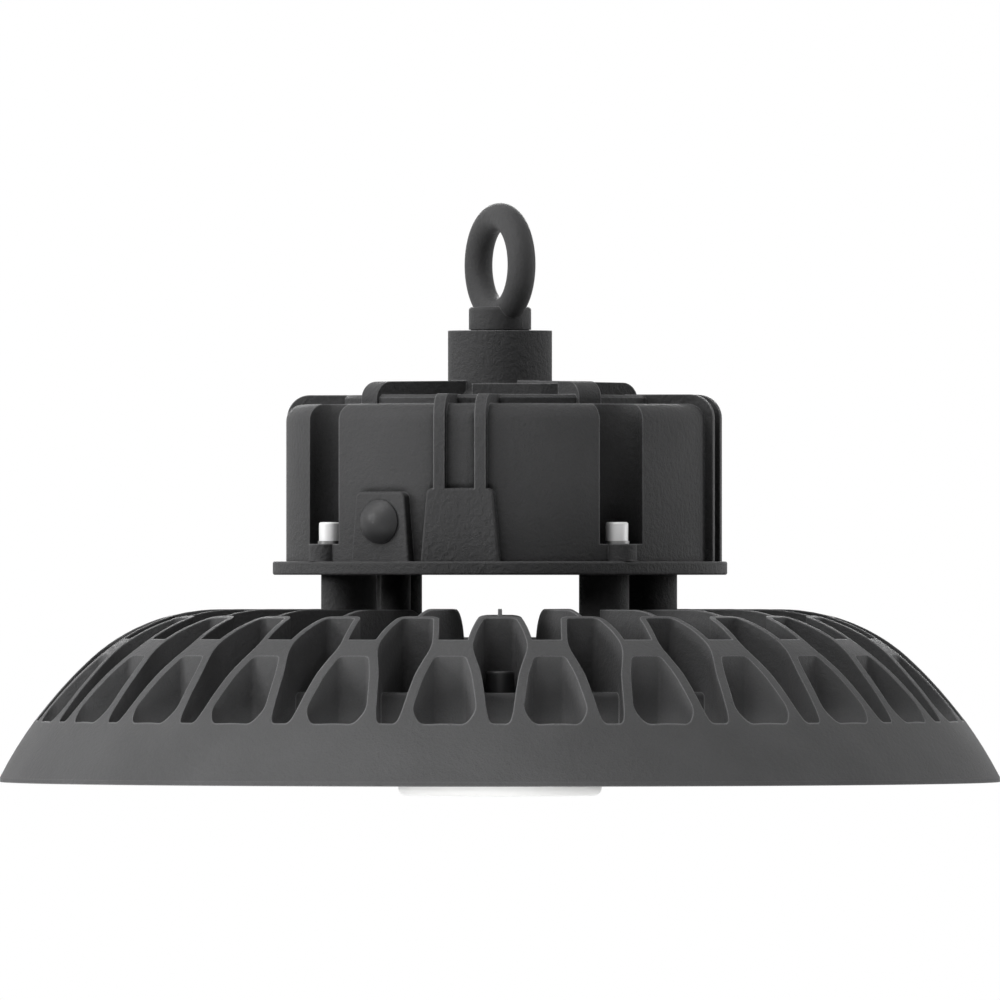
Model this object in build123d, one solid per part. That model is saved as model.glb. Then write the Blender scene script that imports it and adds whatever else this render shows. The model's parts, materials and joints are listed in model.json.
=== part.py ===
from build123d import *
import math
import os

os.makedirs("parts", exist_ok=True)

# Round high bay light that hangs from an eye bolt and shines downwards.
# Lengths are in millimetres, angles in degrees counted from +X towards +Y.
# The origin is on the axis, level with the lowest face of the centre cap.

# Which way each pattern faces
cell_turn = -26.7
housing_turn = -37.2

# Heat sink outline
overall_radius = 145.0
cap_drop = 4.0
lip_height = 1.3
flank_start_slope = 27.0
flank_end_slope = 48.0
flank_arc_radius = 120.0
heat_sink_height = 50.0

# Honeycomb of the heat sink
cell_count = 26
skirt_width = 10.2
outer_cell_length = 17.5
belt_width = 6.3
cell_wall = 2.9
fin_wall = 1.7
fin_thickness = 1.2
fin_inner_radius = 46.0
fin_corner_radius = 11.0
# Long cells: distances inwards from the outer end of the cells, and half widths
long_cell_length = 37.4
long_cell_shoulder = 2.5
long_cell_neck = 12.3
long_cell_widest = 21.1
long_cell_waist = 28.7
long_cell_end_half = 2.8
long_cell_shoulder_half = 3.7
long_cell_neck_half = 5.3
long_cell_widest_half = 8.1
long_cell_waist_half = 6.5
long_cell_inner_half = 4.4
# Rounding of a long cell's corners, from its inner end outwards
long_cell_radii = (1.8, 30.0, 12.0, 20.0, 6.0, 1.7)
# Short cells between the long ones, and the rounding of their corners from the belt outwards
short_cell_shoulder = 3.3
short_cell_taper = 2.6
short_cell_radii = (1.8, 25.0, 3.4, 3.4)

# Seat disc of the heat sink, which carries the light unit
seat_radius = 111.5
seat_top_height = 26.4
seat_thickness = 6.0
seat_edge_radius = 1.6
rim_wall = 3.0
recess_height = 12.0
chamber_radius = 98.0
chamber_depth = 3.4
lens_pocket_radius = 106.5
lens_wall_drop = 12.0

# Light unit
thermal_pad_thickness = 0.5
board_clearance = 1.0
led_board_thickness = 1.6
chip_size = 3.0
chip_height = 0.7
lens_rings = ((46.0, 14), (66.0, 20), (86.0, 26))
lens_plate_thickness = 2.5
lens_dome_radius = 7.6
lens_dome_drop = 5.0
lens_edge_gap = 0.5
retaining_ring_thickness = 2.0
retaining_ring_width = 8.5
gasket_inner_radius = 99.0
gasket_width = 1.8
gasket_depth = 1.2
lens_screw_count = 8
lens_screw_circle = 103.6
lens_screw_radius = 1.5
lens_screw_head_radius = 2.6
lens_screw_head_height = 1.9
lens_screw_length = 8.0
lens_screw_edge = 0.9
cap_radius = 29.5
cap_wall = 2.0
cap_edge_radius = 2.3
cap_neck_radius = 23.0
cap_neck_rise = 0.9
cap_seal_width = 1.6
cap_seal_depth = 1.0

# Posts and base plate of the driver housing
plate_radius = 65.9
plate_thickness = 3.9
plate_edge = 0.6
plate_gap = 10.0
post_count = 4
post_circle = 52.9
post_half_length = 8.7
post_half_width = 6.4
post_pocket_gap = 0.9
base_screw_radius = 2.5
base_screw_grip = 14.0
base_screw_head_radius = 4.3
base_screw_head_height = 3.0
duct_circle = 40.0
duct_angle = -157.0
duct_radius = 4.5
duct_bore_radius = 3.0

# Driver cover
body_radius = 62.0
body_height = 45.4
body_edge_radius = 4.8
cover_wall = 3.5
roof_thickness = 3.5
notch_radius = 7.5
notch_wall = 3.0
notch_floor = 5.0
notch_bump_radius = 4.8
cover_screw_circle = 59.4
rib_offset = 6.0
rib_width = 3.3
rib_reach = 64.0
rib_rise = 2.9
rib_corner_radius = 6.8
lone_rib_angle = -95.7
pad_height = 21.0
pad_top_width = 19.3
pad_bottom_width = 22.8
pad_corner_radius = 1.8
pad_edge = 0.6
plug_pad_angle = -22.0
plug_pad_height = 19.9
plug_pad_top_width = 16.2
plug_pad_bottom_width = 19.5
plug_pad_reach = 64.4
tier_radius = 45.0
tier_height = 2.7
tier_bevel = 0.8
cross_rib_thickness = 7.8
cross_rib_reach = 45.9
cross_rib_outer_rise = 6.6
cross_rib_inner_rise = 6.9
cross_rib_corner_radius = 5.2
step_reach = 29.0
step_rise = 6.0
step_near_side = -2.9
step_far_side = 17.3
step_side_reach = 27.8
neck_radius = 15.1
neck_height = 21.5
neck_foot_radius = 2.0
gasket_strip = 1.6
gasket_strip_depth = 1.2
cover_gasket_inset = 1.2

# Cover screws
cover_screw_radius = 2.0
cover_screw_head_radius = 3.25
cover_screw_head_height = 5.4
cover_screw_edge = 0.4
cover_screw_end_gap = 0.4
cover_screw_key = 1.5
cover_screw_key_depth = 2.6
washer_radius = 3.6
washer_thickness = 0.9

# Eye bolt
eye_shank_radius = 4.0
eye_shank_length = 13.0
eye_shank_edge = 0.8
eye_flange_radius = 9.05
eye_flange_height = 6.6
eye_flange_edge = 1.0
eye_ring_radius = 13.9
eye_wire_radius = 4.06
eye_ring_rise = 18.8
eye_washer_radius = 8.5
eye_washer_thickness = 0.3

# Blanking plug on the front left, vent plug in the front cell
plug_radius = 6.3
plug_rise = 3.5
plug_rim = 0.6
plug_stem_radius = 4.8
plug_level = 11.4
plug_stem_reach = 2.0
vent_circle = 102.2
vent_radius = 4.1
vent_rise = 6.2
vent_top_edge = 0.8
vent_stem_radius = 2.4
vent_channel_radius = 0.6
vent_floor = 0.8

# Cable gland at the back
gland_level = 11.0
gland_hex = 18.0
gland_body_length = 6.0
gland_thread_radius = 7.0
gland_thread_length = 10.5
gland_nut_length = 14.0
gland_nut_wall = 2.0
gland_nut_end = 2.5
gland_nut_gap = 0.5
gland_seal_seat = 1.0
gland_bore_radius = 4.0
gland_seal_radius = 6.2
lock_nut_hex = 17.0
lock_nut_thickness = 3.0

# Driver
driver_board_thickness = 1.6
driver_board_length = 78.0
driver_board_width = 52.0
driver_board_corner = 3.0
spacer_height = 6.0
spacer_radius = 3.0
spacer_inset = 5.0
board_screw_radius = 1.5
board_screw_head_radius = 2.8
board_screw_head_height = 1.8
board_screw_edge = 0.8
board_screw_grip = 3.0
transformer_length = 28.0
transformer_width = 24.0
transformer_height = 22.0
transformer_spool = 9.0
transformer_core = 12.0
choke_outer_radius = 10.0
choke_inner_radius = 4.5
choke_height = 10.0
choke_edge = 1.5
capacitor_radius = 8.0
capacitor_height = 26.0
capacitor_edge = 0.8
terminal_length = 20.0
terminal_depth = 9.0
terminal_height = 11.0
terminal_poles = 3
terminal_hole_radius = 1.6
transformer_place = (12.0, 8.0)
choke_place = (-19.0, 11.0)
capacitor_places = ((24.5, -14.0), (8.0, -14.0))
terminal_place = (-33.5, -6.0)
lead_radius = 0.8
lead_spacing = 2.2
grommet_flange = 1.2
grommet_overhang = 1.4
grommet_depth = 4.0

# Clearance between a screw and its hole, past its end, and between a piece and its seat
screw_gap = 0.05
screw_end_gap = 1.0
seat_gap = 0.3

# Levels that follow from the sizes above
rim_level = cap_drop
top_level = rim_level + heat_sink_height
seat_level = rim_level + seat_top_height
board_seat_level = seat_level - seat_thickness
ledge_level = board_seat_level - chamber_depth
lens_wall_level = ledge_level - lens_wall_drop
recess_level = rim_level + recess_height
led_board_top = board_seat_level - thermal_pad_thickness
led_board_bottom = led_board_top - led_board_thickness
lens_bottom = ledge_level - lens_plate_thickness
ring_bottom = lens_bottom - retaining_ring_thickness
plate_bottom = top_level + plate_gap
plate_top = plate_bottom + plate_thickness
body_top = plate_top + body_height
tier_top = body_top + tier_height
neck_top = body_top + neck_height
notch_floor_level = plate_top + notch_floor
driver_board_bottom = plate_top + spacer_height
driver_board_top = driver_board_bottom + driver_board_thickness
eye_seat_level = neck_top + eye_washer_thickness

# Radii that follow
cell_outer_radius = overall_radius - skirt_width
belt_outer_radius = cell_outer_radius - outer_cell_length
belt_inner_radius = belt_outer_radius - belt_width
half_pitch = 180.0 / cell_count
post_angles = [housing_turn - 45.0 + 360.0 / post_count * k for k in range(post_count)]


def turned(shape, angle):
    """The shape turned about the light's axis."""
    return Rot(0, 0, angle) * shape


def upright(radius, angle, level):
    """A place at a radius and an angle, with its own X axis pointing outwards."""
    return Pos(0, 0, level) * Rot(0, 0, angle) * Pos(radius, 0, 0)


def facing_out(reach, angle, level):
    """A place at a reach from the axis whose own Z points outwards, with its Y upwards."""
    plane = Plane(origin=(reach, 0, level), x_dir=(0, 1, 0), z_dir=(1, 0, 0))
    return Rot(0, 0, angle) * plane.location


def tube(radius, bottom, top):
    """A round bar on the light's axis between two levels."""
    return Pos(0, 0, bottom) * extrude(Circle(radius), top - bottom)


def spun(points_and_arcs):
    """A solid of revolution from a list of edges drawn with radius as X and level as Y."""
    return revolve(Plane.XZ * make_face(Curve() + points_and_arcs), Axis.Z)


def hexagon(across_flats):
    """A hexagon of a size across its flats."""
    return RegularPolygon(across_flats / 2, 6, major_radius=False)


def on_arc(centre, radius, slope):
    """The point of an arc where its tangent leans the slope away from upright."""
    lean = math.radians(slope)
    return (centre[0] + radius * math.cos(lean), centre[1] + radius * math.sin(lean))


def flank_centre():
    """Centre of the flank's arc, as radius and level."""
    return on_arc((overall_radius, rim_level + lip_height), -flank_arc_radius, flank_start_slope)


def arc_points(centre, radius, slope_low, slope_high):
    """First, middle and last point of an arc between two slopes."""
    slopes = (slope_low, (slope_low + slope_high) / 2, slope_high)
    return [on_arc(centre, radius, slope) for slope in slopes]


def web_envelope():
    """Form of revolution that bounds the fins, the cell walls and the hollow skirt."""
    centre = flank_centre()
    flank = arc_points(centre, flank_arc_radius, flank_start_slope, flank_end_slope)
    rise = 1 - math.sin(math.radians(flank_end_slope))
    shoulder_radius = (top_level - flank[2][1]) / rise
    shoulder_centre = on_arc(flank[2], -shoulder_radius, flank_end_slope)
    shoulder = arc_points(shoulder_centre, shoulder_radius, flank_end_slope, 90.0)
    inner_arc_radius = flank_arc_radius - rim_wall
    recess_slope = math.degrees(math.asin((recess_level - centre[1]) / inner_arc_radius))
    inside = arc_points(centre, inner_arc_radius, flank_start_slope, recess_slope)
    fin_top = (fin_inner_radius + fin_corner_radius, top_level)
    fin_side = (fin_inner_radius, top_level - fin_corner_radius)
    corner_mid = on_arc((fin_top[0], fin_side[1]), fin_corner_radius, 135.0)
    foot_level = seat_level - seat_edge_radius
    return spun([
        Line((overall_radius, rim_level), flank[0]),
        ThreePointArc(*flank),
        ThreePointArc(*shoulder),
        Line(shoulder[2], fin_top),
        ThreePointArc(fin_top, corner_mid, fin_side),
        Line(fin_side, (fin_inner_radius, foot_level)),
        Line((fin_inner_radius, foot_level), (seat_radius, foot_level)),
        Line((seat_radius, foot_level), (seat_radius, recess_level)),
        Line((seat_radius, recess_level), inside[2]),
        ThreePointArc(*reversed(inside)),
        Line(inside[0], (inside[0][0], rim_level)),
        Line((inside[0][0], rim_level), (overall_radius, rim_level)),
    ])


def long_cell_outline():
    """Radii and half widths of a long cell, from its inner end outwards."""
    return [
        (cell_outer_radius - long_cell_length, long_cell_inner_half),
        (cell_outer_radius - long_cell_waist, long_cell_waist_half),
        (cell_outer_radius - long_cell_widest, long_cell_widest_half),
        (cell_outer_radius - long_cell_neck, long_cell_neck_half),
        (cell_outer_radius - long_cell_shoulder, long_cell_shoulder_half),
        (cell_outer_radius, long_cell_end_half),
    ]


def mirrored_face(half_outline, radii):
    """A face that is the same on both sides of its own X axis, with its corners rounded."""
    other_side = [(x, -y) for x, y in reversed(half_outline)]
    all_radii = [*radii, *reversed(radii)]
    return make_face(FilletPolyline(*half_outline, *other_side, radius=all_radii, close=True))


def long_cell():
    """Plan of a long cell, with flanks that swing in an S."""
    return mirrored_face(long_cell_outline(), long_cell_radii)


def short_cell_half(radius):
    """Half width that a short cell has where the long cells beside it leave their wall."""
    outline = long_cell_outline()
    for (r_low, w_low), (r_high, w_high) in zip(outline, outline[1:]):
        if r_low <= radius <= r_high:
            beside = w_low + (w_high - w_low) * (radius - r_low) / (r_high - r_low)
            return radius * math.tan(math.radians(half_pitch)) - beside - cell_wall
    return 0.0


def short_cell():
    """Plan of a short cell in the outer row, which bulges where the long cells are narrow."""
    bulge_radius = cell_outer_radius - long_cell_neck
    shoulder_radius = cell_outer_radius - short_cell_shoulder
    shoulder_half = short_cell_half(shoulder_radius)
    half_outline = [
        (belt_outer_radius, short_cell_half(belt_outer_radius)),
        (bulge_radius, short_cell_half(bulge_radius)),
        (shoulder_radius, shoulder_half),
        (cell_outer_radius, shoulder_half - short_cell_taper),
    ]
    return mirrored_face(half_outline, short_cell_radii)


def around(shape, first_angle):
    """Copies of a shape, one for each long cell."""
    return [Rot(0, 0, first_angle + 360 / cell_count * k) * shape for k in range(cell_count)]


def honeycomb_plan():
    """Plan of all cell walls, the belt between the rows and the radial fins."""
    cell = long_cell()
    fin_length = cell_outer_radius - long_cell_length - fin_inner_radius
    fin = Pos(fin_inner_radius + fin_length / 2, 0) * Rectangle(fin_length, fin_thickness)
    ring = Circle(overall_radius + skirt_width) - Circle(belt_inner_radius)
    plan = ring + around(offset(cell, fin_wall) + fin, cell_turn)
    pocket_width = 2 * (post_half_width + fin_thickness + post_pocket_gap)
    pocket = Rectangle(2 * (post_half_length + post_pocket_gap), pocket_width)
    pockets = [Rot(0, 0, angle) * Pos(post_circle, 0) * pocket for angle in post_angles]
    openings = around(cell, cell_turn) + around(short_cell(), cell_turn + half_pitch)
    return plan - openings - pockets


def seat_disc():
    """The solid disc under the fins, with its wall round the lens."""
    edge_arc = seat_edge_radius * (1 - math.sqrt(0.5))
    return spun([
        Line((0, board_seat_level), (0, seat_level)),
        Line((0, seat_level), (seat_radius - seat_edge_radius, seat_level)),
        ThreePointArc(
            (seat_radius - seat_edge_radius, seat_level),
            (seat_radius - edge_arc, seat_level - edge_arc),
            (seat_radius, seat_level - seat_edge_radius),
        ),
        Line((seat_radius, seat_level - seat_edge_radius), (seat_radius, lens_wall_level)),
        Line((seat_radius, lens_wall_level), (lens_pocket_radius, lens_wall_level)),
        Line((lens_pocket_radius, lens_wall_level), (lens_pocket_radius, ledge_level)),
        Line((lens_pocket_radius, ledge_level), (chamber_radius, ledge_level)),
        Line((chamber_radius, ledge_level), (chamber_radius, board_seat_level)),
        Line((chamber_radius, board_seat_level), (0, board_seat_level)),
    ])


def seat_cuts():
    """Holes and grooves of the seat disc."""
    cuts = []
    for angle in post_angles:
        hole = Circle(base_screw_radius + screw_gap)
        head = Circle(base_screw_head_radius + seat_gap)
        place = upright(post_circle, angle, board_seat_level)
        cuts.append(place * extrude(hole, seat_thickness))
        cuts.append(place * extrude(head, base_screw_head_height))
    bore = Circle(duct_bore_radius)
    cuts.append(upright(duct_circle, duct_angle, board_seat_level) * extrude(bore, seat_thickness))
    ring = Circle(gasket_inner_radius + gasket_width) - Circle(gasket_inner_radius)
    cuts.append(Pos(0, 0, ledge_level) * extrude(ring, gasket_depth))
    for angle in lens_screw_angles():
        hole = Circle(lens_screw_radius + screw_gap)
        cuts.append(upright(lens_screw_circle, angle, ledge_level) * extrude(hole, lens_screw_bite()))
    return cuts + vent_holes()


def heat_sink():
    """The round casting: honeycomb dome, fins and seat disc in one piece."""
    plan = Pos(0, 0, rim_level) * honeycomb_plan()
    webs = extrude(plan, heat_sink_height) & web_envelope()
    return webs + (seat_disc() - seat_cuts())


def lens_screw_angles():
    """Angles of the lens screws, midway between the posts' directions."""
    step = 360.0 / lens_screw_count
    return [housing_turn + step * (k + 0.5) for k in range(lens_screw_count)]


def lens_screw_bite():
    """Depth of the lens screws' holes in the heat sink."""
    return lens_screw_length - lens_plate_thickness - retaining_ring_thickness + screw_end_gap


def vent_holes():
    """Hole for the vent plug, and its side channel into the LED chamber."""
    bottom = ledge_level + gasket_depth + vent_floor
    hole = extrude(Circle(vent_stem_radius + screw_gap), seat_level - bottom)
    start = chamber_radius - vent_channel_radius
    level = (bottom + board_seat_level) / 2
    channel = facing_out(start, cell_turn, level) * Circle(vent_channel_radius)
    return [upright(vent_circle, cell_turn, bottom) * hole, extrude(channel, vent_circle - start)]


def post_plan():
    """Plan of a post: an obround that is longer along the radius."""
    return Ellipse(post_half_length, post_half_width)


def gasket_outline():
    """Plan inside the cover's seal: a disc that steps in round each cover screw."""
    disc = Circle(body_radius - cover_gasket_inset)
    lobe = Circle(notch_radius + cover_gasket_inset)
    return disc - [Rot(0, 0, angle) * Pos(cover_screw_circle, 0) * lobe for angle in post_angles]


def gasket_strip_plan():
    """Plan of the seal strip between the base plate and the cover."""
    outline = gasket_outline()
    return outline - offset(outline, -gasket_strip)


def driver_base_plate():
    """Base plate with its four posts and the wire duct, cast in one piece."""
    body = tube(plate_radius, plate_bottom, plate_top)
    body = fillet(body.edges().filter_by(GeomType.CIRCLE), plate_edge)
    for angle in post_angles:
        body += upright(post_circle, angle, seat_level) * extrude(post_plan(), plate_bottom - seat_level)
    duct = Circle(duct_radius)
    body += upright(duct_circle, duct_angle, seat_level) * extrude(duct, plate_bottom - seat_level)
    cuts = [upright(duct_circle, duct_angle, seat_level)
            * extrude(Circle(duct_bore_radius), plate_top - seat_level)]
    for angle in post_angles:
        thread = extrude(Circle(base_screw_radius + screw_gap), base_screw_grip + screw_end_gap)
        cuts.append(upright(post_circle, angle, seat_level) * thread)
        hole = Circle(cover_screw_radius + screw_gap)
        cuts.append(upright(cover_screw_circle, angle, plate_bottom) * extrude(hole, plate_thickness))
    for place in spacer_places():
        hole = Circle(board_screw_radius + screw_gap)
        cuts.append(place * Pos(0, 0, -board_screw_grip) * extrude(hole, board_screw_grip))
    groove = extrude(gasket_strip_plan(), gasket_strip_depth)
    cuts.append(Pos(0, 0, plate_top - gasket_strip_depth) * groove)
    return body - cuts


def rib(angle, offset_sideways):
    """A rib that runs up the wall of the cover and over its edge to the tier."""
    top = body_top + rib_rise
    inner = tier_radius - rib_corner_radius
    turn = rib_corner_radius * (1 - math.sqrt(0.5))
    edges = [
        Line((inner, plate_top), (rib_reach, plate_top)),
        Line((rib_reach, plate_top), (rib_reach, top - rib_corner_radius)),
        ThreePointArc(
            (rib_reach, top - rib_corner_radius),
            (rib_reach - turn, top - turn),
            (rib_reach - rib_corner_radius, top),
        ),
        Line((rib_reach - rib_corner_radius, top), (inner, top)),
        Line((inner, top), (inner, plate_top)),
    ]
    face = Plane.XZ * make_face(Curve() + edges)
    return turned(Pos(0, offset_sideways, 0) * extrude(face, rib_width / 2, both=True), angle)


def wall_pad(angle, height, top_width, bottom_width, reach):
    """A flat pad at the foot of the cover's wall, narrower at its top."""
    outline = Polyline(
        (-bottom_width / 2, 0),
        (bottom_width / 2, 0),
        (top_width / 2, height),
        (-top_width / 2, height),
        close=True,
    )
    face = make_face(outline)
    face = fillet(face.vertices().sort_by(Axis.Y)[2:], pad_corner_radius)
    depth = body_radius - cover_wall - notch_radius
    pad = extrude(face, reach - depth)
    front = pad.faces().sort_by(Axis.Z)[-1]
    pad = fillet(front.edges().sort_by(Axis.Y)[1:], pad_edge)
    return facing_out(depth, angle, plate_top) * pad


def cross_rib(angle):
    """A rib on the roof from the neck towards a cover screw, lower at its outer end."""
    outer_top = body_top + cross_rib_outer_rise
    inner_top = body_top + cross_rib_inner_rise
    turn = cross_rib_corner_radius * (1 - math.sqrt(0.5))
    edges = [
        Line((0, body_top), (cross_rib_reach, body_top)),
        Line((cross_rib_reach, body_top), (cross_rib_reach, outer_top - cross_rib_corner_radius)),
        ThreePointArc(
            (cross_rib_reach, outer_top - cross_rib_corner_radius),
            (cross_rib_reach - turn, outer_top - turn),
            (cross_rib_reach - cross_rib_corner_radius, outer_top),
        ),
        Line((cross_rib_reach - cross_rib_corner_radius, outer_top), (neck_radius, inner_top)),
        Line((neck_radius, inner_top), (0, inner_top)),
        Line((0, inner_top), (0, body_top)),
    ]
    face = Plane.XZ * make_face(Curve() + edges)
    return turned(extrude(face, cross_rib_thickness / 2, both=True), angle)


def roof_step():
    """The raised step beside the neck, which runs into one of the cross ribs."""
    rib_side = step_side_reach - cross_rib_thickness / 2 * math.sqrt(2)
    outline = Polyline(
        (0, step_near_side),
        (step_reach, step_near_side),
        (step_reach, step_far_side),
        (step_side_reach, rib_side),
        (0, 0),
        close=True,
    )
    step = Pos(0, 0, body_top) * extrude(make_face(outline), step_rise)
    return turned(step, housing_turn)


def neck():
    """The neck that takes the eye bolt, with a rounded foot on the tier."""
    foot = neck_foot_radius * (1 - math.sqrt(0.5))
    return spun([
        Line((0, body_top), (neck_radius + neck_foot_radius, body_top)),
        Line((neck_radius + neck_foot_radius, body_top), (neck_radius + neck_foot_radius, tier_top)),
        ThreePointArc(
            (neck_radius + neck_foot_radius, tier_top),
            (neck_radius + foot, tier_top + foot),
            (neck_radius, tier_top + neck_foot_radius),
        ),
        Line((neck_radius, tier_top + neck_foot_radius), (neck_radius, neck_top)),
        Line((neck_radius, neck_top), (0, neck_top)),
        Line((0, neck_top), (0, body_top)),
    ])


def notch_cut(angle):
    """The channel above a cover screw, open outwards and upwards."""
    plan = Circle(notch_radius) + Pos(notch_radius, 0) * Rectangle(2 * notch_radius, 2 * notch_radius)
    return upright(cover_screw_circle, angle, notch_floor_level) * extrude(plan, body_height)


def driver_cover():
    """The cover: a cast cup with notches, ribs, pads, a tier, cross ribs and the neck."""
    body = tube(body_radius, plate_top, body_top)
    body = fillet(body.edges().group_by(Axis.Z)[-1], body_edge_radius)
    for side in (-1, 1):
        for quarter in (0, 90, 180):
            body += rib(housing_turn + quarter, side * rib_offset)
    body += rib(housing_turn + lone_rib_angle, 0)
    for quarter in (0, 180):
        body += wall_pad(housing_turn + quarter, pad_height, pad_top_width, pad_bottom_width, rib_reach)
    body += wall_pad(
        housing_turn + plug_pad_angle,
        plug_pad_height,
        plug_pad_top_width,
        plug_pad_bottom_width,
        plug_pad_reach,
    )
    tier = tube(tier_radius, body_top - tier_bevel, tier_top)
    body += chamfer(tier.edges().group_by(Axis.Z)[-1], tier_bevel)
    for angle in post_angles:
        body += cross_rib(angle)
    body += roof_step()
    body += neck()
    for angle in post_angles:
        body -= notch_cut(angle)
        reach = plate_radius - notch_bump_radius
        body += upright(reach, angle, plate_top) * extrude(Circle(notch_bump_radius), notch_floor)
    cavity = Circle(body_radius - cover_wall)
    lobe = Circle(notch_radius + notch_wall) + Pos(notch_radius, 0) * Rectangle(
        2 * notch_radius, 2 * (notch_radius + notch_wall)
    )
    cavity -= [Rot(0, 0, angle) * Pos(cover_screw_circle, 0) * lobe for angle in post_angles]
    body -= Pos(0, 0, plate_top) * extrude(cavity, body_height - roof_thickness)
    cuts = []
    for angle in post_angles:
        hole = Circle(cover_screw_radius + screw_gap)
        cuts.append(upright(cover_screw_circle, angle, plate_top) * extrude(hole, notch_floor))
    cuts.append(tube(eye_shank_radius + screw_gap, neck_top - eye_shank_length - screw_end_gap, neck_top))
    cuts.append(wall_hole(plug_pad_angle, plug_level, plug_stem_radius + screw_gap, plug_pad_reach))
    cuts.append(wall_hole(180, gland_level, gland_thread_radius + screw_gap, rib_reach))
    return body - cuts


def wall_hole(angle, level, radius, reach):
    """A round hole through the cover's wall, square to a pad."""
    depth = cover_wall + notch_radius + plug_stem_reach
    face = facing_out(reach, housing_turn + angle, plate_top + level) * Circle(radius)
    return extrude(face, -depth)


def cover_gasket():
    """Seal strip in the base plate's groove."""
    strip = extrude(gasket_strip_plan(), gasket_strip_depth)
    return Pos(0, 0, plate_top - gasket_strip_depth) * strip


def cover_screw(angle):
    """Socket head screw that holds the cover down in a notch."""
    under_head = notch_floor_level + washer_thickness
    length = under_head - plate_bottom - cover_screw_end_gap
    head = Circle(cover_screw_head_radius)
    head = Pos(0, 0, length) * extrude(head, cover_screw_head_height)
    head = chamfer(head.edges().group_by(Axis.Z)[-1], cover_screw_edge)
    key = Pos(0, 0, length + cover_screw_head_height - cover_screw_key_depth)
    key *= extrude(hexagon(2 * cover_screw_key), cover_screw_key_depth)
    screw = extrude(Circle(cover_screw_radius), length) + head - key
    return upright(cover_screw_circle, angle, plate_bottom + cover_screw_end_gap) * screw


def cover_washer(angle):
    """Spring washer under a cover screw's head."""
    ring = Circle(washer_radius) - Circle(cover_screw_radius + screw_gap)
    return upright(cover_screw_circle, angle, notch_floor_level) * extrude(ring, washer_thickness)


def base_screw(angle):
    """Screw that holds a post to the heat sink, with its head sunk in the board's seat."""
    head_top = board_seat_level + base_screw_head_height
    head = extrude(Circle(base_screw_head_radius), base_screw_head_height)
    key = extrude(hexagon(base_screw_radius), base_screw_head_height / 2)
    shank_length = seat_level - head_top + base_screw_grip
    shank = Pos(0, 0, base_screw_head_height) * extrude(Circle(base_screw_radius), shank_length)
    return upright(post_circle, angle, board_seat_level) * (head + shank - key)


def eye_bolt():
    """Lifting eye: a ring on a round flange, with a shank in the neck."""
    flange = tube(eye_flange_radius, eye_seat_level, eye_seat_level + eye_flange_height)
    flange = fillet(flange.edges().group_by(Axis.Z)[-1], eye_flange_edge)
    shank = tube(eye_shank_radius, neck_top - eye_shank_length, eye_seat_level)
    shank = chamfer(shank.edges().group_by(Axis.Z)[0], eye_shank_edge)
    place = Pos(0, 0, eye_seat_level + eye_ring_rise) * Rot(90, 0, 0)
    return flange + place * Torus(eye_ring_radius, eye_wire_radius) + shank


def eye_washer():
    """Thin seal washer under the eye bolt's flange."""
    ring = Circle(eye_washer_radius) - Circle(eye_shank_radius + screw_gap)
    return Pos(0, 0, neck_top) * extrude(ring, eye_washer_thickness)


def side_plug():
    """Domed blanking plug in the pad on the cover."""
    depth = cover_wall + plug_stem_reach
    dome_drop = plug_rise - plug_rim
    ball_radius = (plug_radius ** 2 + dome_drop ** 2) / (2 * dome_drop)
    dome = Pos(0, 0, plug_rise - ball_radius) * Sphere(ball_radius)
    dome &= extrude(Circle(2 * plug_radius), plug_rise)
    plug = dome & extrude(Circle(plug_radius), plug_rise)
    plug += Pos(0, 0, -depth) * extrude(Circle(plug_stem_radius), depth)
    return facing_out(plug_pad_reach, housing_turn + plug_pad_angle, plate_top + plug_level) * plug


def vent_plug():
    """Vent plug that stands on the step inside the front cell."""
    bottom = ledge_level + gasket_depth + 2 * vent_floor
    head = tube(vent_radius, seat_level, seat_level + vent_rise)
    head = fillet(head.edges().group_by(Axis.Z)[-1], vent_top_edge)
    plug = head + tube(vent_stem_radius, bottom, seat_level)
    return upright(vent_circle, cell_turn, 0) * plug


def gland_place(distance):
    """A place on the gland's axis, at a distance out from the pad's face."""
    return facing_out(rib_reach + distance, housing_turn + 180, plate_top + gland_level)


def gland_body():
    """Gland body: hexagon, thread through the wall and threaded collar for the nut."""
    collar = gland_seal_length() - gland_nut_gap
    body = extrude(hexagon(gland_hex), gland_body_length)
    thread = extrude(Circle(gland_thread_radius), gland_thread_length + gland_body_length + collar)
    body += Pos(0, 0, -gland_thread_length) * thread
    bore = extrude(Circle(gland_bore_radius), gland_thread_length + gland_body_length + collar)
    seat = extrude(Circle(gland_seal_radius), collar)
    body -= Pos(0, 0, -gland_thread_length) * bore
    body -= Pos(0, 0, gland_body_length + gland_seal_seat) * seat
    return gland_place(0) * body


def gland_seal_length():
    """Length of the seal between its seat in the body and the nut's end."""
    return gland_nut_gap + gland_nut_length - gland_nut_end - gland_seal_seat


def gland_seal():
    """Rubber sleeve inside the gland, which closes on the cable."""
    sleeve = Circle(gland_seal_radius - screw_gap) - Circle(gland_bore_radius)
    return gland_place(gland_body_length + gland_seal_seat) * extrude(sleeve, gland_seal_length())


def gland_nut():
    """Dome nut of the gland, with a hexagon foot and a rounded end."""
    outer = gland_thread_radius + gland_nut_wall
    nut = extrude(hexagon(gland_hex), gland_nut_length / 2)
    dome = Pos(0, 0, gland_nut_length / 2) * extrude(Circle(outer), gland_nut_length / 2)
    nut += fillet(dome.edges().group_by(Axis.Z)[-1], gland_nut_wall)
    nut -= extrude(Circle(gland_thread_radius + screw_gap), gland_nut_length - gland_nut_end)
    nut -= extrude(Circle(gland_bore_radius), gland_nut_length)
    return gland_place(gland_body_length + gland_nut_gap) * nut


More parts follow.
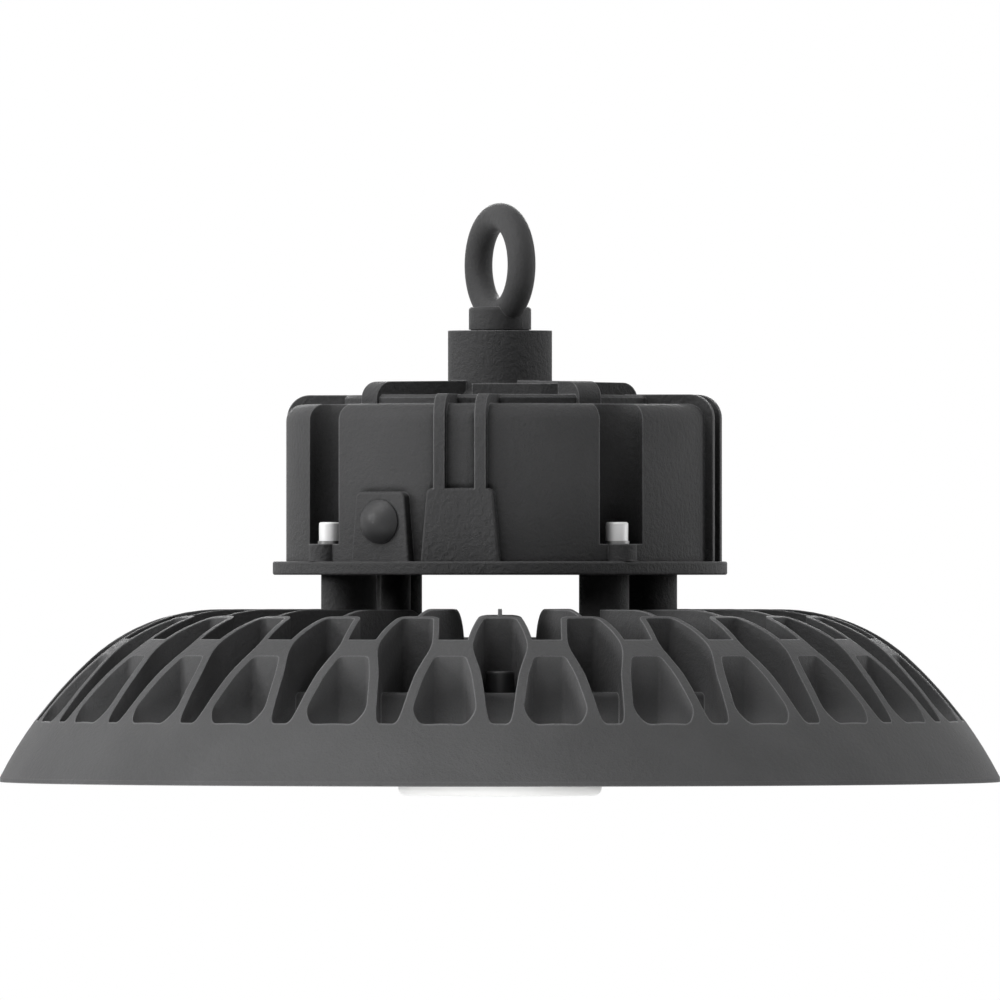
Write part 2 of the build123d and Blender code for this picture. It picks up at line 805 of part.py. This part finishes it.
def gland_lock_nut():
    """Flat nut on the gland's thread inside the cover."""
    nut = hexagon(lock_nut_hex) - Circle(gland_thread_radius + screw_gap)
    wall_radius = body_radius - cover_wall
    outer_face = math.sqrt(wall_radius ** 2 - (lock_nut_hex / math.sqrt(3)) ** 2) - seat_gap
    return gland_place(outer_face - lock_nut_thickness - rib_reach) * extrude(nut, lock_nut_thickness)


def spacer_places():
    """Places of the driver board's spacers on the base plate."""
    half_x = driver_board_length / 2 - spacer_inset
    half_y = driver_board_width / 2 - spacer_inset
    return [
        Pos(0, 0, plate_top) * Rot(0, 0, housing_turn) * Pos(x, y, 0)
        for x in (-half_x, half_x)
        for y in (-half_y, half_y)
    ]


def on_board(x, y):
    """A place on the top of the driver board, in the housing's own directions."""
    return Pos(0, 0, driver_board_top) * Rot(0, 0, housing_turn) * Pos(x, y, 0)


def driver_board():
    """Circuit board of the driver."""
    plan = RectangleRounded(driver_board_length, driver_board_width, driver_board_corner)
    board = Pos(0, 0, driver_board_bottom) * Rot(0, 0, housing_turn)
    board *= extrude(plan, driver_board_thickness)
    hole = extrude(Circle(board_screw_radius + screw_gap), spacer_height + driver_board_thickness)
    return board - [place * hole for place in spacer_places()]


def board_spacer(place):
    """Round spacer under a corner of the driver board."""
    ring = Circle(spacer_radius) - Circle(board_screw_radius + screw_gap)
    return place * extrude(ring, spacer_height)


def board_screw(place):
    """Screw through the driver board and its spacer into the base plate."""
    length = spacer_height + driver_board_thickness
    depth = board_screw_grip - screw_end_gap / 2
    shank = Pos(0, 0, -depth) * extrude(Circle(board_screw_radius), depth + length)
    head = Pos(0, 0, length) * extrude(Circle(board_screw_head_radius), board_screw_head_height)
    head = fillet(head.edges().group_by(Axis.Z)[-1], board_screw_edge)
    return place * (shank + head)


def transformer():
    """Transformer: two core halves round a wound spool."""
    core = Box(transformer_length, transformer_core, transformer_height,
               align=(Align.CENTER, Align.CENTER, Align.MIN))
    spool = Cylinder(transformer_spool, transformer_width, rotation=(90, 0, 0),
                     align=(Align.CENTER, Align.CENTER, Align.CENTER))
    return on_board(*transformer_place) * (core + Pos(0, 0, transformer_height / 2) * spool)


def line_choke():
    """Ring choke that lies flat on the driver board."""
    ring = Circle(choke_outer_radius) - Circle(choke_inner_radius)
    choke = extrude(ring, choke_height)
    return on_board(*choke_place) * fillet(choke.edges().filter_by(GeomType.CIRCLE), choke_edge)


def bulk_capacitor(place):
    """Can capacitor that stands on the driver board."""
    can = extrude(Circle(capacitor_radius), capacitor_height)
    return on_board(*place) * fillet(can.edges().group_by(Axis.Z)[-1], capacitor_edge)


def terminal_block():
    """Terminal block for the mains wires, with one hole a pole towards the gland."""
    block = Box(terminal_depth, terminal_length, terminal_height,
                align=(Align.CENTER, Align.CENTER, Align.MIN))
    pitch = terminal_length / terminal_poles
    face = Plane(origin=(-terminal_depth / 2, 0, terminal_height / 3), x_dir=(0, 1, 0), z_dir=(-1, 0, 0))
    for k in range(terminal_poles):
        spot = Pos((k + 0.5) * pitch - terminal_length / 2, 0, 0)
        block -= extrude(face * spot * Circle(terminal_hole_radius), -terminal_depth / 2)
    return on_board(*terminal_place) * block


def duct_grommet():
    """Rubber grommet that closes the top of the wire duct round the leads."""
    flange = extrude(Circle(duct_bore_radius + grommet_overhang), grommet_flange)
    sleeve = Pos(0, 0, -grommet_depth) * extrude(Circle(duct_bore_radius - screw_gap), grommet_depth)
    hole = extrude(Circle(lead_radius + screw_gap), grommet_depth + grommet_flange)
    holes = [Pos(0, side * lead_spacing / 2, -grommet_depth) * hole for side in (-1, 1)]
    return upright(duct_circle, duct_angle, plate_top) * (flange + sleeve - holes)


def led_lead(side):
    """Straight inner lead from the driver board down the duct to the LED board."""
    length = driver_board_bottom - led_board_top
    place = upright(duct_circle, duct_angle, led_board_top) * Pos(0, side * lead_spacing / 2, 0)
    return place * extrude(Circle(lead_radius), length)


def lens_places():
    """Places of the LED chips and their lenses, in rings about the axis."""
    return [
        Rot(0, 0, cell_turn + 360.0 / count * k) * Pos(radius, 0, 0)
        for radius, count in lens_rings
        for k in range(count)
    ]


def thermal_pad():
    """Soft pad between the LED board and the heat sink."""
    pad = tube(chamber_radius - board_clearance, led_board_top, board_seat_level)
    hole = extrude(Circle(duct_bore_radius), thermal_pad_thickness)
    return pad - upright(duct_circle, duct_angle, led_board_top) * hole


def led_board():
    """Round metal-core board that carries the LED chips."""
    return tube(chamber_radius - board_clearance, led_board_bottom, led_board_top)


def led_chips():
    """The LED chips on the board's lower face."""
    chip = Rectangle(chip_size, chip_size)
    return [place * Pos(0, 0, led_board_bottom) * extrude(chip, -chip_height) for place in lens_places()]


def lens_plate():
    """Clear plate with a domed lens under each chip and a round hole for the centre cap."""
    plate = tube(lens_pocket_radius - lens_edge_gap, lens_bottom, ledge_level)
    half_chord = lens_dome_radius
    ball_radius = (half_chord ** 2 + lens_dome_drop ** 2) / (2 * lens_dome_drop)
    dome = Pos(0, 0, lens_bottom - lens_dome_drop + ball_radius) * Sphere(ball_radius)
    dome &= tube(2 * half_chord, lens_bottom - 2 * lens_dome_drop, lens_bottom + lens_plate_thickness / 2)
    plate += [place * dome for place in lens_places()]
    cuts = [tube(cap_neck_radius + screw_gap, lens_bottom, ledge_level)]
    for angle in lens_screw_angles():
        hole = Circle(lens_screw_radius + screw_gap)
        cuts.append(upright(lens_screw_circle, angle, lens_bottom) * extrude(hole, lens_plate_thickness))
    return plate - cuts


def lens_gasket():
    """Seal ring in the heat sink's groove above the lens plate."""
    ring = Circle(gasket_inner_radius + gasket_width) - Circle(gasket_inner_radius)
    return Pos(0, 0, ledge_level) * extrude(ring, gasket_depth)


def retaining_ring():
    """Flat ring that clamps the lens plate."""
    outer = lens_pocket_radius - lens_edge_gap
    ring = Circle(outer) - Circle(outer - retaining_ring_width)
    body = Pos(0, 0, ring_bottom) * extrude(ring, retaining_ring_thickness)
    cuts = []
    for angle in lens_screw_angles():
        hole = Circle(lens_screw_radius + screw_gap)
        cuts.append(upright(lens_screw_circle, angle, ring_bottom) * extrude(hole, retaining_ring_thickness))
    return body - cuts


def lens_screw(angle):
    """Button head screw through the ring and the lens plate."""
    head = extrude(Circle(lens_screw_head_radius), -lens_screw_head_height)
    head = fillet(head.edges().group_by(Axis.Z)[0], lens_screw_edge)
    shank = extrude(Circle(lens_screw_radius), lens_screw_length)
    return upright(lens_screw_circle, angle, ring_bottom) * (head + shank)


def centre_cap():
    """White cap in the middle of the light, a hollow cup with a neck in the lens plate."""
    shell = tube(cap_radius, 0, lens_bottom)
    shell = fillet(shell.edges().group_by(Axis.Z)[0], cap_edge_radius)
    neck_end = ledge_level + cap_neck_rise
    shell += tube(cap_neck_radius, lens_bottom, neck_end)
    shell -= tube(cap_neck_radius - cap_wall, cap_wall, neck_end)
    shell -= tube(cap_radius - cap_wall, cap_wall, lens_bottom - cap_wall)
    return shell - centre_cap_seal()


def cap_seal_outer():
    """Outer radius of the centre cap's seal ring."""
    return cap_radius - cap_wall


def centre_cap_seal():
    """Seal ring between the centre cap and the lens plate."""
    ring = Circle(cap_seal_outer()) - Circle(cap_seal_outer() - cap_seal_width)
    return Pos(0, 0, lens_bottom - cap_seal_depth) * extrude(ring, cap_seal_depth)


def save(name, solid):
    """Write one named piece."""
    if isinstance(solid, list):
        solid = Compound(children=[Compound(s.wrapped) for s in solid])
    export_step(solid, f"parts/{name}.step")


save("heat_sink", heat_sink())
save("driver_base_plate", driver_base_plate())
save("driver_cover", driver_cover())
save("cover_gasket", cover_gasket())
save("eye_bolt", eye_bolt())
save("eye_washer", eye_washer())
save("side_plug", side_plug())
save("vent_plug", vent_plug())
for number, angle in enumerate(post_angles, 1):
    save(f"cover_screw_{number}", cover_screw(angle))
    save(f"cover_washer_{number}", cover_washer(angle))
    save(f"base_screw_{number}", base_screw(angle))
save("gland_body", gland_body())
save("gland_seal", gland_seal())
save("gland_nut", gland_nut())
save("gland_lock_nut", gland_lock_nut())
save("driver_board", driver_board())
for number, place in enumerate(spacer_places(), 1):
    save(f"board_spacer_{number}", board_spacer(place))
    save(f"board_screw_{number}", board_screw(place))
save("transformer", transformer())
save("line_choke", line_choke())
for number, spot in enumerate(capacitor_places, 1):
    save(f"bulk_capacitor_{number}", bulk_capacitor(spot))
save("terminal_block", terminal_block())
save("duct_grommet", duct_grommet())
save("led_lead_1", led_lead(-1))
save("led_lead_2", led_lead(1))
save("thermal_pad", thermal_pad())
save("led_board", led_board())
save("led_chips", led_chips())
save("lens_plate", lens_plate())
save("lens_gasket", lens_gasket())
save("retaining_ring", retaining_ring())
for number, angle in enumerate(lens_screw_angles(), 1):
    save(f"lens_screw_{number}", lens_screw(angle))
save("centre_cap", centre_cap())
save("centre_cap_seal", centre_cap_seal())
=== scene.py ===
import json
import math

import bpy
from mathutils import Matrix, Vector

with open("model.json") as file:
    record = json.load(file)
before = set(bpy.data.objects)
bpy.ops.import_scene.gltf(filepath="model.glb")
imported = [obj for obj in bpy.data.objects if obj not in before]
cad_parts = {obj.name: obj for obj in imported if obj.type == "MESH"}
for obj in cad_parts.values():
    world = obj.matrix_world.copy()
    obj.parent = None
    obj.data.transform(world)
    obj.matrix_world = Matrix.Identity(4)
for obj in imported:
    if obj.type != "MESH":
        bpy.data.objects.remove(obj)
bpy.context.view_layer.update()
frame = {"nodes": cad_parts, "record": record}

# Lengths are in metres and turns in degrees. The scale of a noise is its fineness per metre.
MM = 0.001
WHITE = (1, 1, 1)

# The values that a noise mostly keeps to, and the depth that fine grain is given
NOISE_SPAN = (0.3, 0.7)
GRAIN_DEPTH = 0.1 * MM


class Graph:
    """The node tree of a material or a world, with short calls for the nodes that these share."""

    def __init__(self, owner, output):
        owner.use_nodes = True
        self.owner = owner
        self.tree = owner.node_tree
        self.tree.nodes.clear()
        self.out = self.add(output)

    def add(self, kind, **settings):
        """A new node. A setting with a capital is the value of an input, any other a property of the node."""
        node = self.tree.nodes.new(kind)
        for key, value in settings.items():
            if key[0].isupper():
                node.inputs[key.replace("_", " ")].default_value = value
            else:
                setattr(node, key, value)
        return node

    def link(self, source, target):
        self.tree.links.new(source, target)

    def place(self, stretch=(1, 1, 1)):
        """Object coordinates, each multiplied by its stretch."""
        coords = self.add("ShaderNodeTexCoord")
        mapping = self.add("ShaderNodeMapping", Scale=stretch)
        self.link(coords.outputs["Object"], mapping.inputs["Vector"])
        return mapping.outputs["Vector"]

    def noise(self, where, scale, detail, roughness=0.5):
        node = self.add("ShaderNodeTexNoise", Scale=scale, Detail=detail, Roughness=roughness)
        self.link(where, node.inputs["Vector"])
        return node.outputs["Fac"]

    def ramp(self, value, span, colors):
        """The first colour at the start of the span and below, the second at its end and above."""
        node = self.add("ShaderNodeValToRGB")
        for element, position, color in zip(node.color_ramp.elements, span, colors):
            element.position = position
            element.color = (*color, 1)
        self.link(value, node.inputs["Fac"])
        return node.outputs["Color"]

    def spread(self, value, span, results):
        """The first result at the start of the span and below, the second at its end and above."""
        start, stop = span
        low, high = results
        node = self.add("ShaderNodeMapRange", From_Min=start, From_Max=stop, To_Min=low, To_Max=high)
        self.link(value, node.inputs["Value"])
        return node.outputs["Result"]

    def math(self, kind, first, second):
        node = self.add("ShaderNodeMath", operation=kind)
        for socket, value in zip(node.inputs, (first, second)):
            if isinstance(value, (int, float)):
                socket.default_value = value
            else:
                self.link(value, socket)
        return node.outputs["Value"]

    def z_of(self, vector):
        parts = self.add("ShaderNodeSeparateXYZ")
        self.link(vector, parts.inputs["Vector"])
        return parts.outputs["Z"]

    def mix(self, share, first, second, kind="MIX"):
        """The first colour, mixed or multiplied with that share of the second."""
        node = self.add("ShaderNodeMixRGB", blend_type=kind)
        self.link(share, node.inputs["Fac"])
        self.link(first, node.inputs["Color1"])
        self.link(second, node.inputs["Color2"])
        return node.outputs["Color"]

    def mix_shaders(self, share, first, second):
        node = self.add("ShaderNodeMixShader")
        for socket, source in zip(node.inputs, (share, first, second)):
            self.link(source, socket)
        return node.outputs["Shader"]

    def bump(self, height, strength, depth, normal=None):
        node = self.add("ShaderNodeBump", Strength=strength, Distance=depth)
        self.link(height, node.inputs["Height"])
        if normal is not None:
            self.link(normal, node.inputs["Normal"])
        return node.outputs["Normal"]

    def seen_directly(self):
        """1 for camera, mirror and see-through rays, 0 for the rays that carry light."""
        path = self.add("ShaderNodeLightPath")
        first = self.math("MAXIMUM", path.outputs["Is Camera Ray"], path.outputs["Is Glossy Ray"])
        return self.math("MAXIMUM", first, path.outputs["Is Transmission Ray"])

    def surface(self, source):
        """The material or world, with that surface."""
        self.link(source, self.out.inputs["Surface"])
        return self.owner

    def shaded(self, color, rough, normal, **constants):
        """The material, with a shader of that colour, roughness and grain."""
        node = self.add("ShaderNodeBsdfPrincipled", **constants)
        self.link(color, node.inputs["Base Color"])
        self.link(rough, node.inputs["Roughness"])
        self.link(normal, node.inputs["Normal"])
        return self.surface(node.outputs["BSDF"])


def new_material(name):
    return Graph(bpy.data.materials.new(name), "ShaderNodeOutputMaterial")


def scaled(value, shares):
    return [value * share for share in shares]


def shades(color, shares):
    return [tuple(part * share for part in color) for share in shares]


# Powder coat: its fine tooth against the orange peel, its clouds, and the painted highlight on its edges
TOOTH_FINENESS = 3.3
TOOTH_HEIGHT = 0.35
CLOUD_SCALE = 28
CLOUD_SHARE = 0.7
COAT_SPAN = (0.35, 0.66)
COAT_SHADES = (0.88, 1.12)
EDGE_SPAN = (0.8, 0.99)
EDGE_RANGE = 1.2
COAT_SPECULAR = 0.06
RAY_SAMPLES = 6

# The steep walls of the housing have painted shade in their notches, up to a level just above its roof.
NOTCH_TOP = 113.5 * MM
NOTCH_FADE = 3 * MM
NOTCH_REACH = 25 * MM
NOTCH_SPAN = (0.5, 0.8)
STEEP_SPAN = (0.2, 0.6)


def painted_notch_shade(g, color, tone, normal):
    """The colour, with painted shade of that tone where a steep face of the housing has little open air."""
    open_air = g.add("ShaderNodeAmbientOcclusion", samples=RAY_SAMPLES, only_local=True, Distance=NOTCH_REACH)
    shade = g.ramp(open_air.outputs["AO"], NOTCH_SPAN, [(tone,) * 3, WHITE])
    steep = g.spread(g.z_of(normal), STEEP_SPAN, (1.0, 0.0))
    below = g.spread(g.z_of(g.place()), (NOTCH_TOP - NOTCH_FADE, NOTCH_TOP), (1.0, 0.0))
    return g.mix(g.math("MULTIPLY", steep, below), color, shade, "MULTIPLY")


def powder_coat(name, color, peel, strength, depth, edge, rough=(0.5, 0.62), edge_highlight_lift=2.2, notch_shade_tone=None):
    """Textured powder coat: soft orange peel over a fine tooth, with a painted highlight on the edges.

    A coat with a notch shade tone also has painted shade in the notches of the housing.
    """
    g = new_material(name)
    where = g.place()
    orange_peel = g.noise(where, peel, detail=4.0, roughness=0.6)
    tooth = g.noise(where, peel * TOOTH_FINENESS, detail=2.0, roughness=0.6)
    clouds = g.math("MULTIPLY", g.noise(where, CLOUD_SCALE, detail=4.0), CLOUD_SHARE)
    height = g.math("ADD", orange_peel, g.math("MULTIPLY", tooth, TOOTH_HEIGHT))
    tone = g.math("ADD", clouds, g.math("MULTIPLY", tooth, 1 - CLOUD_SHARE))

    rounded = g.add("ShaderNodeBevel", samples=RAY_SAMPLES, Radius=edge)
    face = g.add("ShaderNodeNewGeometry")
    bend = g.add("ShaderNodeVectorMath", operation="DOT_PRODUCT")
    g.link(rounded.outputs["Normal"], bend.inputs[0])
    g.link(face.outputs["Normal"], bend.inputs[1])
    # Painted highlight: the colour is made lighter on the edges, where the rounded normal bends away from the
    # true one.
    at_edge = g.spread(bend.outputs["Value"], EDGE_SPAN, (1.0, 0.0))

    even = g.ramp(tone, COAT_SPAN, shades(color, COAT_SHADES))
    # The painted highlight on the edges, a lighter copy of the coat's colour
    painted_edge_highlight = g.ramp(tone, COAT_SPAN, shades(color, (edge_highlight_lift, edge_highlight_lift * EDGE_RANGE)))
    finish = g.mix(at_edge, even, painted_edge_highlight)
    # Painted shade in the notches of the housing
    if notch_shade_tone is not None:
        finish = painted_notch_shade(g, finish, notch_shade_tone, face.outputs["Normal"])
    return g.shaded(
        finish,
        g.spread(tooth, NOISE_SPAN, rough),
        g.bump(height, strength, depth, rounded.outputs["Normal"]),
        Specular_IOR_Level=COAT_SPECULAR,
    )


# Metal: the stretch that makes its marks drawn or turned, and its stains
DRAWN = (1, 6, 1)
TURNED = (1, 1, 12)
MARK_STRENGTH = 0.12
STAIN_SCALE = 60
STAIN_SHADES = (0.9, 1.06)
METAL_ROUGH_SHARES = (0.75, 1.35)


def metal(name, color, rough, marks=DRAWN, coarse=400, metallic=1.0):
    """Bare or plated metal with fine marks and faint stains."""
    g = new_material(name)
    marked = g.noise(g.place(marks), coarse, detail=3.0, roughness=0.6)
    stain = g.noise(g.place(), STAIN_SCALE, detail=3.0)
    return g.shaded(
        g.ramp(stain, NOISE_SPAN, shades(color, STAIN_SHADES)),
        g.spread(marked, NOISE_SPAN, scaled(rough, METAL_ROUGH_SHARES)),
        g.bump(marked, MARK_STRENGTH, GRAIN_DEPTH),
        Metallic=metallic,
    )


# Moulded plastic and rubber: the flow marks and the spread of the roughness
FLOW_STRETCH = (1, 1, 0.35)
FLOW_SCALE = 35
MOULDED_ROUGH_SHARES = (0.85, 1.15)


def moulded(name, color, rough, grain=1400, strength=0.1, tone=0.06, **extra):
    """Moulded plastic or rubber: a fine spark-eroded grain and faint flow marks."""
    g = new_material(name)
    fine = g.noise(g.place(), grain, detail=2.0, roughness=0.6)
    flow = g.noise(g.place(FLOW_STRETCH), FLOW_SCALE, detail=3.0)
    return g.shaded(
        g.ramp(flow, NOISE_SPAN, shades(color, (1 - tone, 1 + tone))),
        g.spread(fine, NOISE_SPAN, scaled(rough, MOULDED_ROUGH_SHARES)),
        g.bump(fine, strength, GRAIN_DEPTH),
        **extra,
    )


# Clear polycarbonate
HAZE_SCALE = 90
HAZE_COLORS = [(0.93, 0.96, 0.96), (0.98, 1.0, 1.0)]
HAZE_ROUGH = (0.04, 0.1)
HAZE_STRENGTH = 0.05
HAZE_DEPTH = 0.2 * MM
POLYCARBONATE_IOR = 1.58


def clear_plastic(name):
    """Clear moulded polycarbonate, faintly frosted in places."""
    g = new_material(name)
    haze = g.noise(g.place(), HAZE_SCALE, detail=3.0)
    return g.shaded(
        g.ramp(haze, NOISE_SPAN, HAZE_COLORS),
        g.spread(haze, NOISE_SPAN, HAZE_ROUGH),
        g.bump(haze, HAZE_STRENGTH, HAZE_DEPTH),
        Transmission_Weight=1.0,
        IOR=POLYCARBONATE_IOR,
    )


# Circuit board: its tracks lie in the mortar lines of a brick pattern
TRACK_SCALE = 130
TRACK_WIDTH = 0.05
FIELD_SHADES = (1.0, 0.92)
WEAVE_SCALE = 1500
WEAVE_ROUGH = (0.3, 0.45)
WEAVE_STRENGTH = 0.08


def circuit_board(name, mask, tracks):
    """Solder mask with faint tracks that show through it."""
    g = new_material(name)
    where = g.place()
    first_field, second_field = shades(WHITE, FIELD_SHADES)
    brick = g.add(
        "ShaderNodeTexBrick",
        Scale=TRACK_SCALE,
        Mortar_Size=TRACK_WIDTH,
        Color1=(*first_field, 1),
        Color2=(*second_field, 1),
        Mortar=(0, 0, 0, 1),
    )
    g.link(where, brick.inputs["Vector"])
    weave = g.noise(where, WEAVE_SCALE, detail=1.0)
    return g.shaded(
        g.ramp(brick.outputs["Color"], (0.0, 1.0), [tracks, mask]),
        g.spread(weave, NOISE_SPAN, WEAVE_ROUGH),
        g.bump(weave, WEAVE_STRENGTH, GRAIN_DEPTH),
    )


# The housing's coat and the sink's coat are lit and shaded copies of one powder coat: the sink's is painted
# lighter than the housing's.
coat_housing = powder_coat(
    "coat_housing",
    (0.07, 0.07, 0.0712),
    peel=680,
    strength=0.8,
    depth=0.55 * MM,
    edge=0.7 * MM,
    # How much lighter the painted edge highlight is
    edge_highlight_lift=2.9,
    # The tone of the painted shade in the notches
    notch_shade_tone=0.3,
)
finishes = {
    "cast_grey": powder_coat(
        "coat_sink",
        (0.096, 0.096, 0.0975),
        peel=700,
        strength=0.6,
        depth=0.5 * MM,
        edge=0.7 * MM,
    ),
    "cast_grey_steel": powder_coat(
        "coat_eye",
        (0.066, 0.066, 0.067),
        peel=800,
        strength=0.5,
        depth=0.5 * MM,
        edge=0.5 * MM,
        rough=(0.4, 0.52),
    ),
    "bright_steel": metal("bright_steel", (0.92, 0.92, 0.92), rough=0.45, coarse=900, metallic=0.15),
    "dark_steel": metal("dark_steel", (0.2, 0.2, 0.2), rough=0.4),
    "ring_grey": metal("ring_grey", (0.5, 0.5, 0.5), rough=0.35, marks=TURNED),
    "black_rubber": moulded("black_rubber", (0.02, 0.02, 0.02), rough=0.7),
    "white_silicone": moulded("white_silicone", (0.78, 0.78, 0.76), rough=0.55),
    "black_plastic": moulded(
        "black_plastic",
        (0.024, 0.024, 0.025),
        rough=0.5,
        strength=0.15,
        Specular_IOR_Level=0.35,
    ),
    "core_dark": moulded("core_dark", (0.045, 0.04, 0.038), rough=0.5),
    "can_sleeve": moulded("can_sleeve", (0.03, 0.03, 0.05), rough=0.3),
    "terminal_plastic": moulded("terminal_plastic", (0.5, 0.5, 0.48), rough=0.45),
    "lead_red": moulded("lead_red", (0.4, 0.02, 0.015), rough=0.4),
    "lead_black": moulded("lead_black", (0.02, 0.02, 0.02), rough=0.4),
    "pad_grey": moulded("pad_grey", (0.3, 0.32, 0.35), rough=0.8),
    "chip_yellow": moulded("chip_yellow", (0.8, 0.6, 0.12), rough=0.35, tone=0.12),
    "white_cap": moulded(
        "white_cap",
        (0.87, 0.87, 0.86),
        rough=0.4,
        grain=1100,
        strength=0.06,
        tone=0.02,
    ),
    "clear_lens": clear_plastic("clear_lens"),
    "green_board": circuit_board("green_board", mask=(0.02, 0.12, 0.04), tracks=(0.05, 0.22, 0.08)),
    "white_board": circuit_board("white_board", mask=(0.82, 0.82, 0.8), tracks=(0.7, 0.7, 0.68)),
}

# The housing has its own coat, a darker, shaded copy of the sink's powder coat, with painted shade in its
# notches.
own_finish = {"driver_cover": coat_housing, "driver_base_plate": coat_housing}
slots = {entry["node"]: entry["material_slot"] for entry in frame["record"]["subparts"]}
for name, node in frame["nodes"].items():
    node.data.materials.clear()
    node.data.materials.append(own_finish.get(name, finishes[slots[name]]))


def put(name, data):
    """A new object of the scene."""
    thing = bpy.data.objects.new(name, data)
    bpy.context.scene.collection.objects.link(thing)
    return thing


# Floor, and the distances from the axis over which it goes from paper to plain white
FLOOR_LEVEL = -0.3
FLOOR_HALF = 40.0
FLOOR_CUTS = 8
PAPER = (0.93, 0.93, 0.93)
PAPER_SPAN = (0.35, 0.8)


def floor_material():
    """White paper near the object, which keeps its shadow, and plain white beyond. Clear from below."""
    g = new_material("floor")
    distance = g.add("ShaderNodeVectorMath", operation="LENGTH")
    g.link(g.place((1, 1, 0)), distance.inputs[0])
    away = g.spread(distance.outputs["Value"], PAPER_SPAN, (0.0, 1.0))
    paper = g.add("ShaderNodeBsdfDiffuse", Color=(*PAPER, 1))
    white = g.add("ShaderNodeEmission")
    below = g.add("ShaderNodeBsdfTransparent")
    side = g.add("ShaderNodeNewGeometry")
    share = g.math("MULTIPLY", away, g.seen_directly())
    above = g.mix_shaders(share, paper.outputs["BSDF"], white.outputs["Emission"])
    return g.surface(g.mix_shaders(side.outputs["Backfacing"], above, below.outputs["BSDF"]))


def floor_sheet():
    """A level square of FLOOR_CUTS by FLOOR_CUTS faces about the axis."""
    row = FLOOR_CUTS + 1
    marks = [2 * FLOOR_HALF / FLOOR_CUTS * k - FLOOR_HALF for k in range(row)]
    corners = [j * row + i for j in range(FLOOR_CUTS) for i in range(FLOOR_CUTS)]
    mesh = bpy.data.meshes.new("floor")
    mesh.from_pydata(
        [(x, y, FLOOR_LEVEL) for y in marks for x in marks],
        [],
        [(corner, corner + 1, corner + row + 1, corner + row) for corner in corners],
    )
    mesh.materials.append(floor_material())
    return put("floor", mesh)


floor = floor_sheet()

# World: its strength as light, and as it is seen, where 1 is white
WORLD_LIGHT = 0.02
WORLD_SEEN = 1.0


def studio_world():
    """White where it is seen, with hardly any light for the object."""
    g = Graph(bpy.data.worlds.new("studio"), "ShaderNodeOutputWorld")
    light = g.add("ShaderNodeBackground", Color=(*WHITE, 1), Strength=WORLD_LIGHT)
    seen = g.add("ShaderNodeBackground", Color=(*WHITE, 1), Strength=WORLD_SEEN)
    share = g.seen_directly()
    return g.surface(g.mix_shaders(share, light.outputs["Background"], seen.outputs["Background"]))


bpy.context.scene.world = studio_world()

# Camera: its turn about the object's axis, its distance from that axis, its level and what it aims at
CAMERA_TURN = 63.3
CAMERA_REACH = 6.380
CAMERA_LEVEL = 0.0672
CAMERA_AIM = 0.0857
CAMERA_LENS_MM = 792
CAMERA_SENSOR_MM = 36
CAMERA_CLIP = (0.1, 200)

# Lamps: name, turn from the camera's, distance from the axis, level, width and height, and watts.
# A positive turn is to the right. All face the axis at the same level.
LAMP_AIM = 0.08
LAMPS = [
    ("left_high", -70, 1.2, 1.4, (0.8, 0.8), 4.9),
    ("left_steep", -65, 0.8, 1.7, (0.8, 0.8), 3.9),
    ("left_mid", -75, 1.6, 0.55, (0.6, 0.6), 13.3),
    ("key_high", -42, 0.8, 1.7, (0.8, 0.8), 6.9),
    ("key_front", -40, 1.3, 1.2, (0.7, 0.7), 3.9),
    ("straight_top", 0, 0.02, 1.8, (1.0, 1.0), 2.7),
    ("right_high", 65, 1.2, 1.4, (0.8, 0.8), 5.0),
    ("right_rim", 105, 1.6, 0.4, (0.5, 1.0), 8.1),
    ("back_mid", 180, 1.6, 0.5, (0.8, 0.6), 8.5),
    ("under", -12, 0.42, -0.26, (0.6, 0.25), 1.7),
]


def set_up(thing, turn, reach, level, aim):
    """Stand a lamp or camera at that turn about the axis, facing the axis at the level of its aim."""
    angle = math.radians(turn)
    thing.location = (math.sin(angle) * reach, -math.cos(angle) * reach, level)
    thing.rotation_euler = (Vector((0, 0, aim)) - thing.location).to_track_quat("-Z", "Y").to_euler()


for name, turn, reach, level, size, watts in LAMPS:
    light = bpy.data.lights.new(name, "AREA")
    light.shape = "RECTANGLE"
    light.size, light.size_y = size
    light.energy = watts
    lamp = put(name, light)
    lamp.visible_camera = False
    set_up(lamp, CAMERA_TURN + turn, reach, level, LAMP_AIM)

camera_data = bpy.data.cameras.new("camera")
camera_data.lens = CAMERA_LENS_MM
camera_data.sensor_width = CAMERA_SENSOR_MM
camera_data.clip_start, camera_data.clip_end = CAMERA_CLIP
camera = put("camera", camera_data)
set_up(camera, CAMERA_TURN, CAMERA_REACH, CAMERA_LEVEL, CAMERA_AIM)
bpy.context.scene.camera = camera
bpy.context.scene.view_settings.view_transform = "Standard"
